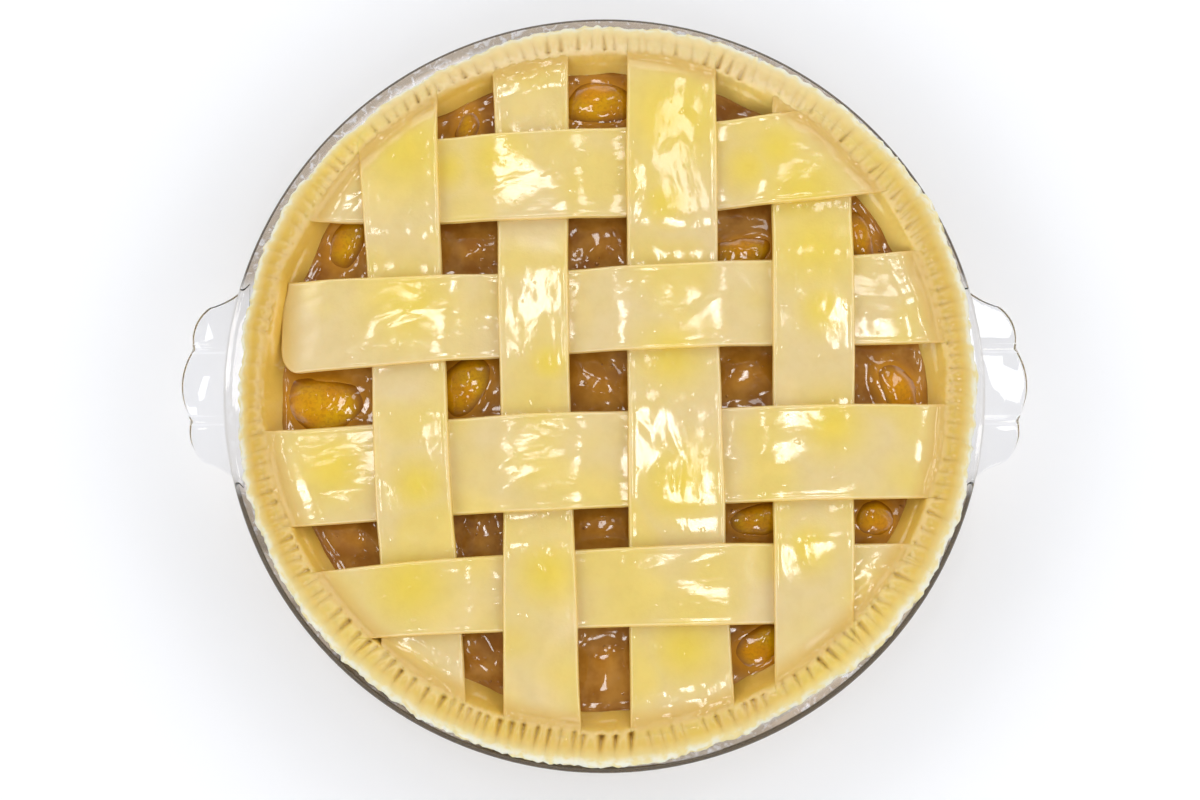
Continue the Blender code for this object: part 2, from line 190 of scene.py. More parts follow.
# How far in from the rim's edge the painted dark line starts and is full, and how much wider the near side
# has it
RIM_LINE = (0.0016, 0.0011)
RIM_LINE_WIDENING = 0.0007
HANDLE_CLEAR_WIDTHS = (0.028, 0.038)
HANDLE_SHADE = 0.15
CREASE_DEPTH = 0.0004
CREASE_RADIUS = 0.004
CREASE_LENGTH = 0.03
SHARP_ANGLE = math.radians(40)


def wall_radius(height, inward=0.0):
    """Radius of the dish's inner wall, or of a surface that lies inward of it."""
    slope_run = (RIM_TOP - height) * math.tan(WALL_LEAN)
    return MOUTH_RADIUS - slope_run - inward / math.cos(WALL_LEAN)


def round_corner(middle, rounding, first, last, steps):
    """Points on an arc round a middle, between two directions in degrees."""
    points = []
    for step in range(steps + 1):
        angle = math.radians(first + (last - first) * step / steps)
        points.append((middle[0] + rounding * math.cos(angle), middle[1] + rounding * math.sin(angle)))
    return points


def heel(inward, steps):
    """The rounded heel between base and wall, from the base up."""
    height = GLASS + HEEL_RADIUS
    middle = (wall_radius(height, HEEL_RADIUS), height)
    return round_corner(middle, HEEL_RADIUS - inward, -90, -math.degrees(WALL_LEAN), steps)


def lip(outward, steps):
    """The rounded turn from the inner wall out to the top of the rim, from the wall up."""
    height = RIM_TOP - LIP_ROUNDING
    middle = (wall_radius(height, -LIP_ROUNDING), height)
    return round_corner(middle, LIP_ROUNDING + outward, 180 - math.degrees(WALL_LEAN), 90, steps)


def under_rim(steps):
    """The hollow turn from the outer wall out to the underside of the rim."""
    height = RIM_TOP - RIM_THICKNESS - UNDER_RIM_ROUNDING
    middle = (wall_radius(height, -GLASS - UNDER_RIM_ROUNDING), height)
    return round_corner(middle, UNDER_RIM_ROUNDING, 180 - math.degrees(WALL_LEAN), 90, steps)


def name_piece(piece, name):
    piece.name = name
    piece.data.name = name


def pick(piece):
    """Selects one piece alone."""
    bpy.ops.object.select_all(action="DESELECT")
    piece.select_set(True)
    bpy.context.view_layer.objects.active = piece


def leave_edit():
    """Turns all faces outwards and goes back to object mode."""
    bpy.ops.mesh.select_all(action="SELECT")
    bpy.ops.mesh.normals_make_consistent(inside=False)
    bpy.ops.object.mode_set(mode="OBJECT")


def turn_on_disc(name, profile, points):
    """Extrudes a disc from ring to ring through the profile's (radius, height) points. The first and the last
    ring stay closed by flat discs."""
    radius, height = profile[0]
    bpy.ops.mesh.primitive_circle_add(
        vertices=points, radius=radius, fill_type="TRIFAN", location=(0, 0, height)
    )
    turned = bpy.context.object
    name_piece(turned, name)
    bpy.ops.object.mode_set(mode="EDIT")
    for next_radius, next_height in profile[1:]:
        rise = (0, 0, next_height - height)
        bpy.ops.mesh.extrude_region_move(TRANSFORM_OT_translate={"value": rise})
        grow = next_radius / radius
        bpy.ops.transform.resize(value=(grow, grow, 1))
        radius, height = next_radius, next_height
    leave_edit()
    bpy.ops.object.transform_apply()
    return turned


def apply_modifier(piece, kind, **settings):
    modifier = piece.modifiers.new(kind.lower(), kind)
    for setting, value in settings.items():
        setattr(modifier, setting, value)
    bpy.context.view_layer.objects.active = piece
    bpy.ops.object.modifier_apply(modifier=modifier.name)


def shade_and_dress(piece, finish, node, sharp_angle=None):
    """Smooth shading up to a sharp angle, the finish, and the piece's place in the frame."""
    pick(piece)
    if sharp_angle is None:
        bpy.ops.object.shade_smooth()
    else:
        bpy.ops.object.shade_smooth_by_angle(angle=sharp_angle)
    piece.data.materials.clear()
    piece.data.materials.append(finish)
    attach(piece, "root")
    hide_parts(node)


def points_of(piece):
    """The places of a piece's points, one row each."""
    places = np.empty(len(piece.data.vertices) * 3)
    piece.data.vertices.foreach_get("co", places)
    return places.reshape(-1, 3)


def move_points(piece, places):
    piece.data.vertices.foreach_set("co", places.ravel())
    piece.data.update()


def arc(start, end, rise, steps):
    """Points on an arc from start to end, whose middle stands to the right of the line by rise."""
    chord_x, chord_y = end[0] - start[0], end[1] - start[1]
    chord = math.hypot(chord_x, chord_y)
    radius = (chord * chord / 4 + rise * rise) / (2 * rise)
    middle_x = (start[0] + end[0]) / 2 + chord_y / chord * (rise - radius)
    middle_y = (start[1] + end[1]) / 2 - chord_x / chord * (rise - radius)
    first = math.degrees(math.atan2(start[1] - middle_y, start[0] - middle_x))
    last = math.degrees(math.atan2(end[1] - middle_y, end[0] - middle_x))
    last = first + (last - first + 180) % 360 - 180
    return round_corner((middle_x, middle_y), abs(radius), first, last, steps)


def handle_outline():
    """Three lobes that sweep into the rim, as seen from above, for the handle at +X."""
    lower = arc(HANDLE_ROOT, SHOULDER, -HANDLE_SWEEP, 10)[:-1] + arc(SHOULDER, NOTCH, SIDE_LOBE_RISE, 14)[:-1]
    upper = [(x, -y) for x, y in reversed(lower)]
    middle = arc(NOTCH, (NOTCH[0], -NOTCH[1]), HANDLE_REACH - NOTCH[0], 20)
    return lower + middle + upper


def make_handle(side):
    outline = handle_outline()
    bpy.ops.mesh.primitive_circle_add(vertices=len(outline), radius=HANDLE_REACH, fill_type="NGON")
    handle = bpy.context.object
    move_points(handle, np.array([(side * x, y, HANDLE_TOP - HANDLE_THICKNESS) for x, y in outline]))
    bpy.ops.object.mode_set(mode="EDIT")
    bpy.ops.mesh.select_all(action="SELECT")
    bpy.ops.mesh.extrude_region_move(TRANSFORM_OT_translate={"value": (0, 0, HANDLE_THICKNESS)})
    leave_edit()
    apply_modifier(handle, "BEVEL", width=HANDLE_ROUNDING, segments=6, limit_method="ANGLE")
    for across in (-NOTCH[1], NOTCH[1]):
        crease = make_crease(side, across)
        apply_modifier(handle, "BOOLEAN", operation="DIFFERENCE", object=crease)
        bpy.data.objects.remove(crease)
    return handle


def make_crease(side, across):
    """A round bar that leaves the shallow crease between two lobes."""
    bpy.ops.mesh.primitive_cylinder_add(
        vertices=96,
        radius=CREASE_RADIUS,
        depth=CREASE_LENGTH,
        location=(side * NOTCH[0], across, HANDLE_TOP + CREASE_RADIUS - CREASE_DEPTH),
        rotation=(0, math.pi / 2, 0),
    )
    return bpy.context.object


def start_material(name):
    """A new material, its shader, and the place on the piece."""
    material = bpy.data.materials.new(name)
    material.use_nodes = True
    tree = material.node_tree
    where = add_node(tree, "ShaderNodeTexCoord", {}).outputs["Object"]
    return material, tree.nodes["Principled BSDF"], where


def noise(where, scale, detail=2.0, roughness=0.5, distortion=0.0):
    """Cloudy noise whose spots are one over the scale across, in metres."""
    inputs = {"Vector": where, "Scale": scale, "Detail": detail}
    inputs.update({"Roughness": roughness, "Distortion": distortion})
    return add_node(where.id_data, "ShaderNodeTexNoise", inputs).outputs["Fac"]


def between(value, low, high, to_low=0.0, to_high=1.0):
    """Maps low..high smoothly to to_low..to_high."""
    inputs = {"Value": value, "From Min": low, "From Max": high, "To Min": to_low, "To Max": to_high}
    steps = add_node(value.id_data, "ShaderNodeMapRange", inputs, interpolation_type="SMOOTHSTEP")
    return steps.outputs["Result"]


def blend(share, first, second):
    """A colour that goes from the first to the second as the share goes from 0 to 1."""
    inputs = {0: share, 6: first, 7: second}
    return add_node(share.id_data, "ShaderNodeMix", inputs, data_type="RGBA").outputs[2]


def compute(operation, first, *others):
    """Works the first value with each of the others in turn."""
    for other in others:
        step = add_node(first.id_data, "ShaderNodeMath", {0: first, 1: other}, operation=operation)
        first = step.outputs[0]
    return first


def stretch(where, factors):
    """A place with its X, Y and Z each multiplied by a factor."""
    inputs = {0: where, 1: factors}
    return add_node(where.id_data, "ShaderNodeVectorMath", inputs, operation="MULTIPLY").outputs[0]


def rim_shade(where):
    """Clear glass with painted refraction and shade in brown along the top of the rim, darkest on the near
    side and clear at the handles.
    """
    level = {0: stretch(where, (1, 1, 0))}
    radius = add_node(where.id_data, "ShaderNodeVectorMath", level, operation="LENGTH").outputs["Value"]
    place = xyz_of(where)
    patches = between(noise(where, 45), 0.36, 0.56)
    patches = compute("MAXIMUM", patches, between(place["Y"], -0.075, -0.02))
    # Pale painted sheen among the brown and tan patches of painted refraction
    painted_sheen = between(noise(where, 280, 2.0, 0.6, 1.0), 0.50, 0.68)
    colour = blend(patches, RIM_BROWN, blend(painted_sheen, RIM_TAN, RIM_PAINTED_SHEEN))
    line = compute("ADD", radius, between(place["Y"], 0.03, -0.06, 0.0, RIM_LINE_WIDENING))
    line = between(line, RIM_RADIUS - RIM_LINE[0], RIM_RADIUS - RIM_LINE[1])
    colour = blend(line, colour, RIM_DARK)
    from_handle = compute("ABSOLUTE", place["Y"], 0.0)
    shade = compute(
        "MULTIPLY",
        between(radius, *RIM_SHADE_RADII),
        between(radius, RIM_RADIUS + 0.0001, RIM_RADIUS - 0.0001),
        between(place["Z"], RIM_TOP - RIM_SHADE_DEPTHS[0], RIM_TOP - RIM_SHADE_DEPTHS[1]),
        between(from_handle, *HANDLE_CLEAR_WIDTHS, HANDLE_SHADE, 1.0),
    )
    return blend(shade, GLASS_CLEAR, colour)


def clear_glass():
    """Glass that lets the lamps through, as real glass does, so that the table under it stays bright."""
    glass, shader, where = start_material("clear_glass")
    feed(shader, {"Base Color": rim_shade(where), "Roughness": 0.0, "IOR": 1.47, "Transmission Weight": 1.0})
    tree = glass.node_tree
    lamps_pass = add_node(tree, "ShaderNodeBsdfTransparent", {"Color": GLASS_SHADOW}).outputs[0]
    lamp_ray = add_node(tree, "ShaderNodeLightPath", {}).outputs["Is Shadow Ray"]
    mix = add_node(tree, "ShaderNodeMixShader", {0: lamp_ray, 1: shader.outputs[0], 2: lamps_pass})
    feed(tree.nodes["Material Output"], {"Surface": mix.outputs[0]})
    return glass


def make_dish():
    foot = [(BASE_RECESS_RADIUS, BASE_RECESS), (BASE_RECESS_RADIUS + BASE_RECESS_SLOPE, 0.0)]
    rim_middle = (RIM_RADIUS - RIM_THICKNESS / 2, RIM_TOP - RIM_THICKNESS / 2)
    rim = round_corner(rim_middle, RIM_THICKNESS / 2, -90, 90, 16)
    inside = lip(0.0, 8)[::-1] + heel(0.0, 10)[::-1]
    dish = turn_on_disc("glass_dish", foot + heel(-GLASS, 12) + under_rim(6) + rim + inside, DISH_POINTS)
    for side in (1, -1):
        handle = make_handle(side)
        apply_modifier(dish, "BOOLEAN", operation="UNION", object=handle)
        bpy.data.objects.remove(handle)
    shade_and_dress(dish, clear_glass(), "dish", SHARP_ANGLE)


make_dish()


# The crust is a sheet of raw dough pressed into the dish. Its edge lies on the rim, and a fork has pressed it
# down all round, which leaves narrow slits with soft fingers of dough between them.
CRUST_OVERLAP = 0.00015
DOUGH = 0.0038
BAND_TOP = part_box("crust")[1].z
BAND_INNER = 0.1120
BAND_OUTER = 0.1238
# How far out the crust's thin edge lies on the rim, in millimetres, every 30 degrees from +X towards +Y
EDGE_REACH = (122.5, 124.5, 123.5, 122.5, 120.5, 122.5, 120.5, 123.0, 123.5, 123.5, 121.5, 124.0)
FRILL_SIZES = ((0.0130, 0.00100), (0.0062, 0.00070), (0.0029, 0.00065), (0.0014, 0.00040))
EDGE_DROP = 0.0066
BAND_CROWN = 0.44
EDGE_ROUNDING = 1.7
BAND_REST_RADIUS = 0.1180
# Two rings under the thin edge: how far in from it they lie, and how high over the rim
UNDER_EDGE = ((0.0012, 0.0002), (0.0003, 0.0004))
# Unevenness of the dough: the size of its hills, the number of its pattern, and its height
BAND_WANDER = (0.015, 6.0, 0.0008)
WALL_FOOT_WANDER = (0.016, 7.0, 0.0016)
WALL_CREASE_WANDER = (0.017, 5.0, 0.0006)
SWELL = (0.013, 0.0, 0.0005)
DENTS = (0.009, 2.0, 0.0008)
FINGER_REACH = 0.0003
FINGER_ROUNDING = 0.0018
SHOULDER_SHARE = 0.32
SHOULDER_DROP = 0.0019
WALL_TOP_SHARE = -0.04
WALL_HOLLOW = 0.0003
# Where the dough of the wall stands up to the short strip's end: its middle, reach and height
WALL_SHELF = Vector((-0.1090, 0.0215))
WALL_SHELF_REACH = (0.0040, 0.0100)
WALL_SHELF_HEIGHT = 0.0030
WALL_CREASE_RADIUS = 0.1101
WALL_CREASE_WIDTH = 0.0009
WALL_CREASE_DEPTH = 0.0006
SYRUP_RADIUS = 0.1060
SYRUP_LEVEL = 0.0405
FORK_TINES = 4
TINE_PITCH = 0.0360
FORK_SEED = 11
CLOSEST_MARKS = 0.022
FORK_DEPTHS = (0.55, 0.75, 0.9, 1.0)
FORK_SLIT_DEPTH = 0.0022
FORK_SLIT_WIDTHS = (0.00050, 0.00105)
FORK_VALLEY_DEPTH = 0.0010
FORK_VALLEY_WIDTH = 0.0013
FORK_LEAN = 0.18
# How deep the fork went in, every 30 degrees from +X towards +Y
FORK_STRENGTH = (0.35, 0.45, 0.60, 0.95, 0.70, 0.35, 0.20, 0.70, 0.90, 1.00, 0.95, 0.65)
POINTS_PER_MARK = 8


def smooth_step(low, high, value):
    """0 below low, 1 above high and a smooth rise between, for numbers or arrays."""
    part = np.clip((value - low) / (high - low), 0.0, 1.0)
    return part * part * (3 - 2 * part)


def fork_marks():
    """Presses a four-tined fork all round: each mark's angle, depth (0 to 1), lean, width, start and run."""
    draw = random.Random(FORK_SEED)
    marks = []
    press_at = 0.0
    while press_at < 2 * math.pi - TINE_PITCH:
        pitch = TINE_PITCH * draw.uniform(0.78, 1.28)
        depth = draw.choice(FORK_DEPTHS)
        lean = FORK_LEAN * draw.uniform(-1, 1)
        start = draw.uniform(-0.02, 0.08)
        for tine in range(FORK_TINES):
            angle = press_at + (tine + 0.12 * draw.uniform(-1, 1)) * pitch
            width = draw.uniform(*FORK_SLIT_WIDTHS)
            run = draw.uniform(0.42, 0.72)
            own_start = start + draw.uniform(-0.025, 0.025)
            marks.append((angle, depth * draw.uniform(0.3, 1.0), lean, width, own_start, run))
        press_at += (FORK_TINES + draw.uniform(-0.6, 0.3)) * pitch
    kept = []
    for mark in sorted(marks):
        last = kept[-1][0] if kept else -1.0
        if mark[0] - last > CLOSEST_MARKS and mark[0] < 2 * math.pi - CLOSEST_MARKS:
            kept.append(mark)
    angles, depths, leans, widths, starts, runs = np.array(kept).T
    turns = np.arange(len(FORK_STRENGTH) + 1) * 30
    strength = np.interp(np.degrees(angles), turns, FORK_STRENGTH + FORK_STRENGTH[:1])
    return angles, depths * strength, leans, widths, starts, runs


MARK_ANGLES, MARK_DEPTHS, MARK_LEANS, MARK_WIDTHS, MARK_STARTS, MARK_RUNS = fork_marks()
FORK_MARKS = len(MARK_ANGLES)


def cloud(x, y, size, number=0.0, height=1.0):
    """Smooth noise over places, with hills of the given size and about the given height."""
    return height * np.array([noise_at((a / size, b / size, number)) for a, b in zip(x, y)])


def polar(radius, angle):
    return radius * np.cos(angle), radius * np.sin(angle)


def from_mark(angle, step=0):
    """The fork mark nearest before an angle, or that many further on, and the turn from it."""
    mark = (np.searchsorted(MARK_ANGLES, angle) - 1 + step) % FORK_MARKS
    turn = angle - MARK_ANGLES[mark]
    return mark, (turn + math.pi) % (2 * math.pi) - math.pi


def finger(angle):
    """1 at the middle of a finger of dough between two fork marks, down to 0 at the marks."""
    nearest = np.minimum(np.abs(from_mark(angle)[1]), np.abs(from_mark(angle, 1)[1])) * BAND_INNER
    return smooth_step(0.0, FINGER_ROUNDING, nearest)


def band_outer(angle):
    """Radius of the thin outer edge: a slow wander over the rim with a frill of small lobes."""
    spot = angle / (2 * math.pi) * len(EDGE_REACH)
    first = np.floor(spot).astype(int) % len(EDGE_REACH)
    reach = np.array(EDGE_REACH)
    part = smooth_step(0.0, 1.0, spot - np.floor(spot))
    outline = (reach[first] + (reach[(first + 1) % len(EDGE_REACH)] - reach[first]) * part) / 1000
    x, y = polar(BAND_OUTER, angle)
    frill = sum(cloud(x, y, size, 4.0, height) for size, height in FRILL_SIZES)
    return outline + frill + FINGER_REACH * (finger(angle) - 0.5)


def band_inner(angle):
    """Radius where the fingers of dough end on the inside, a little inward of the marks between them."""
    wander = cloud(*polar(BAND_INNER, angle), *BAND_WANDER)
    return BAND_INNER + wander - FINGER_REACH * (finger(angle) - 0.5)


def band_drop(share):
    """How far the band lies under its top: it thins out on the rim and slopes to the wall."""
    outer = np.clip((share - BAND_CROWN) / (1 - BAND_CROWN), 0.0, 1.0)
    inner = np.clip((SHOULDER_SHARE - share) / SHOULDER_SHARE, 0.0, 2.0)
    return EDGE_DROP * outer ** EDGE_ROUNDING + SHOULDER_DROP * inner * inner


def wall_height(radius):
    """Height of the crust's inner wall between the band and the syrup."""
    top_radius, top = wall_top()
    part = np.clip((top_radius - radius) / (top_radius - SYRUP_RADIUS), 0.0, 1.0)
    return top + (SYRUP_LEVEL - top) * part - WALL_HOLLOW * np.sin(math.pi * part)


def wall_top():
    """Radius and height where the band turns down into the wall."""
    radius = BAND_INNER + WALL_TOP_SHARE * (BAND_OUTER - BAND_INNER)
    return radius, BAND_TOP - band_drop(WALL_TOP_SHARE)


def band_swell(x, y, share):
    """Unevenness of the dough's height on the band and the wall, with a soft crease under the fingers."""
    swell = cloud(x, y, *SWELL) * smooth_step(-0.6, -0.1, share) * (1 - smooth_step(0.75, 1.0, share))
    dents = cloud(x, y, *DENTS) * (1 - smooth_step(-0.12, 0.06, share))
    from_crease = np.hypot(x, y) - WALL_CREASE_RADIUS - cloud(x, y, *WALL_CREASE_WANDER)
    crease = WALL_CREASE_DEPTH * smooth_step(-0.3, 0.3, cloud(x, y, 0.019, 9.0))
    crease = crease * np.exp(-((from_crease / WALL_CREASE_WIDTH) ** 2))
    shelf = ((x - WALL_SHELF.x) / WALL_SHELF_REACH[0]) ** 2 + ((y - WALL_SHELF.y) / WALL_SHELF_REACH[1]) ** 2
    shelf = WALL_SHELF_HEIGHT * np.exp(-shelf) * (1 - smooth_step(-0.25, 0.05, share))
    return swell + dents - crease + shelf


def fork_press(angle, radius, share):
    """How far the fork has pressed the dough down at a place, and how golden the painted shade and pooled egg
    wash make it there, from 0 to 1.
    """
    pressed = np.zeros_like(radius)
    slit = np.zeros_like(radius)
    for step in (-1, 0, 1, 2):
        mark, turn = from_mark(angle, step)
        aside = turn * radius - MARK_LEANS[mark] * (radius - BAND_INNER)
        along = (share - MARK_STARTS[mark]) / MARK_RUNS[mark]
        runs = smooth_step(0.0, 0.14, along) * np.clip(1.1 - along, 0.0, 1.0)
        width = MARK_WIDTHS[mark] * (1.1 - 0.4 * np.clip(along, 0.0, 1.0))
        one_slit = np.exp(-((aside / width) ** 2)) * runs * MARK_DEPTHS[mark]
        slit = np.maximum(slit, one_slit)
        runs = smooth_step(-0.10, 0.15, share) * (1 - smooth_step(0.60, 1.0, share))
        valley = np.exp(-((aside / FORK_VALLEY_WIDTH) ** 2)) * runs * (0.4 + 0.6 * MARK_DEPTHS[mark])
        pressed = np.maximum(pressed, valley)
    # Painted shade with pooled egg wash, strongest in the slits and weaker in the valleys between fingers
    slit_shade_and_wash = np.maximum(slit, 0.30 * pressed * (1 - smooth_step(0.3, 0.9, share)))
    return FORK_SLIT_DEPTH * slit + FORK_VALLEY_DEPTH * pressed, slit_shade_and_wash


def column_angles():
    """Angles of the crust's columns of points, closest together at the middle of each fork mark."""
    before = (MARK_ANGLES + np.roll(MARK_ANGLES, 1)) / 2
    before[0] = (MARK_ANGLES[0] + MARK_ANGLES[-1] - 2 * math.pi) / 2
    after = np.roll(before, -1)
    after[-1] = before[0] + 2 * math.pi
    half = POINTS_PER_MARK // 2
    angles = []
    for mark in range(FORK_MARKS):
        for point in range(POINTS_PER_MARK):
            along = (point - half) / half
            reach = after[mark] - MARK_ANGLES[mark] if along > 0 else MARK_ANGLES[mark] - before[mark]
            angles.append(MARK_ANGLES[mark] + math.copysign(abs(along) ** 1.5, along) * reach)
    return np.array(angles)


def crust_rings():
    """The crust's section from under its base, up the glass, over the rim and down the inside. Each ring has
    its radius and height, how far it follows the band's inner and outer edge, and 1 on the open top side."""
    under = heel(-CRUST_OVERLAP, 4) + lip(-CRUST_OVERLAP, 4)
    rings = [(radius, height, 0.0, 0.0, 0) for radius, height in under]
    rings.append((BAND_REST_RADIUS - 0.0015, RIM_TOP - CRUST_OVERLAP, 0.0, 0.0, 0))
    rings.append((BAND_REST_RADIUS, RIM_TOP + 0.0001, 0.0, 0.3, 0))
    rings += [(BAND_OUTER - inward, RIM_TOP + lift, 0.0, 1.0, 0) for inward, lift in UNDER_EDGE]
    shares = [np.linspace(1.0, 0.90, 5), np.linspace(0.86, 0.06, 26), np.linspace(0.03, WALL_TOP_SHARE, 3)]
    for share in np.concatenate(shares):
        radius = BAND_INNER + (BAND_OUTER - BAND_INNER) * share
        rings.append((radius, BAND_TOP - band_drop(share), 1 - share, share, 1))
    top_radius = wall_top()[0]
    for part in np.linspace(0.0, 1.0, 21)[1:]:
        radius = top_radius + (SYRUP_RADIUS - top_radius) * part
        rings.append((radius, float(wall_height(radius)), (1 - part) ** 3, 0.0, 1))
    rings += [(radius, height, 0.0, 0.0, 0) for radius, height in heel(DOUGH, 4)[::-1]]
    return rings


def paint(piece, name, values):
    """Keeps a number or a vector for each point of a piece, which its material reads."""
    kind, key = ("FLOAT_VECTOR", "vector") if values.ndim > 1 else ("FLOAT", "value")
    attribute = piece.data.attributes.new(name, kind, "POINT")
    attribute.data.foreach_set(key, values.astype(np.float32).ravel())


def painted(where, name, output="Fac"):
    """What is kept for each point, read in the material that the place belongs to."""
    return add_node(where.id_data, "ShaderNodeAttribute", {}, attribute_name=name).outputs[output]


def bump(height, distance, strength=1.0):
    inputs = {"Strength": strength, "Distance": distance, "Height": height}
    return add_node(height.id_data, "ShaderNodeBump", inputs).outputs[0]


CREAM = (0.780, 0.603, 0.290, 1)
PALE_DOUGH = (0.775, 0.665, 0.320, 1)
THIN_EDGE = (0.800, 0.780, 0.640, 1)
BAND_YELLOW = (0.770, 0.565, 0.155, 1)
BAND_GOLD = (0.660, 0.420, 0.060, 1)
WASHED_YELLOW = (0.818, 0.614, 0.075, 1)
WALL_GOLD = (0.730, 0.445, 0.058, 1)
WALL_YELLOW = (0.880, 0.640, 0.150, 1)
# Painted shade with pooled egg wash in the fork's slits
SLIT_WASH_AND_SHADE = (0.520, 0.280, 0.035, 1)
MOTTLE = (0.93, 0.90, 0.84, 1)
FILM_HEIGHT = 0.0012
# How the band's colour turns: towards where, from where to where in metres, how far at most, to what
BAND_TURNS = (
    ("sides", 0.075, 0.115, 0.80, BAND_GOLD),
    ("X", -0.095, -0.115, 0.90, BAND_GOLD),
    ("Y", 0.070, 0.110, 0.80, CREAM),
    ("Y", -0.070, -0.115, 0.50, BAND_GOLD),
)


def wash_relief(where):
    """The uneven wet film of egg wash: brush streaks, pools and small beads, as a height."""
    pools = compute("MULTIPLY", noise(where, 95, 1.0, 0.4, 0.6), 0.50)
    swell = compute("MULTIPLY", noise(where, 38, 0.0), 2.4)
    drops = compute("MULTIPLY", noise(where, 330, 1.0, 0.5, 0.3), 0.05)
    beads = between(noise(where, 420, 0.0), 0.72, 0.84, 0.0, 0.05)
    return compute("ADD", pools, swell, drops, beads)


def finish_dough(shader, where, colour, wetness, streaks):
    """Fine mottling, a matt floury skin and, where it is wet, a clear film of egg wash on top."""
    mottled = blend(between(noise(where, 210, 3.0, 0.6), 0.35, 0.75, 0.0, 0.5), colour, MOTTLE)
    mottled.node.blend_type = "MULTIPLY"
    finish = {
        "Base Color": mottled,
        "Roughness": 0.55,
        "Subsurface Weight": 0.25,
        "Subsurface Radius": (1.0, 0.6, 0.3),
        "Subsurface Scale": 0.002,
        "Normal": bump(noise(where, 900, 3.0, 0.6), 0.0003, 0.25),
        "Coat Weight": wetness,
        "Coat Roughness": 0.11,
        "Coat IOR": 1.8,
        "Coat Normal": bump(streaks, FILM_HEIGHT),
    }
    feed(shader, finish)


def band_colour(where):
    """The pressed dough: golden under the egg wash, pale at the thin outer edge, and brown in the slits with
    painted shade and pooled egg wash.
    """
    share = painted(where, "share")
    yellow = between(noise(where, 45), 0.42, 0.70, 0.0, 0.6)
    colour = blend(yellow, BAND_YELLOW, WASHED_YELLOW)
    place = xyz_of(where)
    spots = {"sides": compute("ABSOLUTE", place["X"], 0.0), "X": place["X"], "Y": place["Y"]}
    for towards, start, full, most, tint in BAND_TURNS:
        colour = blend(between(spots[towards], start, full, 0.0, most), colour, tint)
    colour = blend(between(share, 0.40, 0.98), colour, PALE_DOUGH)
    thin = between(noise(where, 260), 0.36, 0.58)
    thin = compute("MULTIPLY", thin, between(share, 0.66, 0.95))
    colour = blend(thin, colour, THIN_EDGE)
    return blend(painted(where, "slit"), colour, SLIT_WASH_AND_SHADE)


def band_wetness(where, wettest):
    """How wet the dough is: the egg wash reaches the inner half of the band and leaves its edge dry."""
    return between(painted(where, "share"), 0.55, 0.10, 0.05, wettest)


def crust_dough():
    dough, shader, where = start_material("crust_dough")
    inside = between(painted(where, "share"), 0.16, -0.20)
    place = xyz_of(where)
    to_far_right = compute("ADD", place["X"], place["Y"])
    wall = blend(between(to_far_right, 0.08, 0.16), WALL_GOLD, WALL_YELLOW)
    colour = blend(inside, band_colour(where), wall)
    colour = blend(painted(where, "under"), colour, CREAM)
    finish_dough(shader, where, colour, band_wetness(where, 0.75), wash_relief(where))
    return dough


def make_crust():
    rings = crust_rings()
    columns = FORK_MARKS * POINTS_PER_MARK
    crust = turn_on_disc("crust_dough", [ring[:2] for ring in rings], columns)
    x, y, z = points_of(crust).T
    radius = np.hypot(x, y)
    ring = np.argmin([np.hypot(radius - row[0], z - row[1]) for row in rings], axis=0)
    to_inner, to_outer, on_top = np.array(rings)[ring, 2:].T
    column = np.round((np.arctan2(y, x) / (2 * math.pi) - 0.25) * columns).astype(int)
    angle = column_angles()[column % columns]
    angle = np.where(radius < 0.001, 0.0, angle)
    inner, outer = band_inner(angle), band_outer(angle)
    radius = radius + to_inner * (inner - BAND_INNER) + to_outer * (outer - BAND_OUTER)
    lean = np.interp(angle, MARK_ANGLES, MARK_LEANS, period=2 * math.pi)
    angle = angle + on_top * lean * np.maximum(radius - BAND_INNER, 0.0) / BAND_OUTER
    foot = on_top * smooth_step(BAND_INNER - 0.0015, SYRUP_RADIUS, radius)
    radius = radius + foot * cloud(*polar(radius, angle), *WALL_FOOT_WANDER)
    x, y = polar(radius, angle)
    share = (radius - inner) / (outer - inner)
    pressed, slit = fork_press(angle, radius, share)
    z = z + on_top * (band_swell(x, y, share) - pressed)
    move_points(crust, np.stack([x, y, z], axis=1))
    # The slits' painted shade with pooled egg wash
    paint(crust, "slit", on_top * slit)
    paint(crust, "share", share)
    paint(crust, "under", 1 - on_top)
    shade_and_dress(crust, crust_dough(), "crust")


make_crust()


# The filling is sliced peaches in brown syrup, which runs down to the bottom crust. A few slices stand out
# of the syrup and shine orange, and the others lie under it and show as low humps. Small bubbles float on it.
SYRUP_OVERLAP = 0.0020
SYRUP_POINTS = 420
SYRUP_RING_STEP = 0.001
PEACH_DEPTH = 0.0085
PEACH_BEND = 0.30
SLICE_DENT = 0.05
SLICE_DENT_SIZE = 0.55
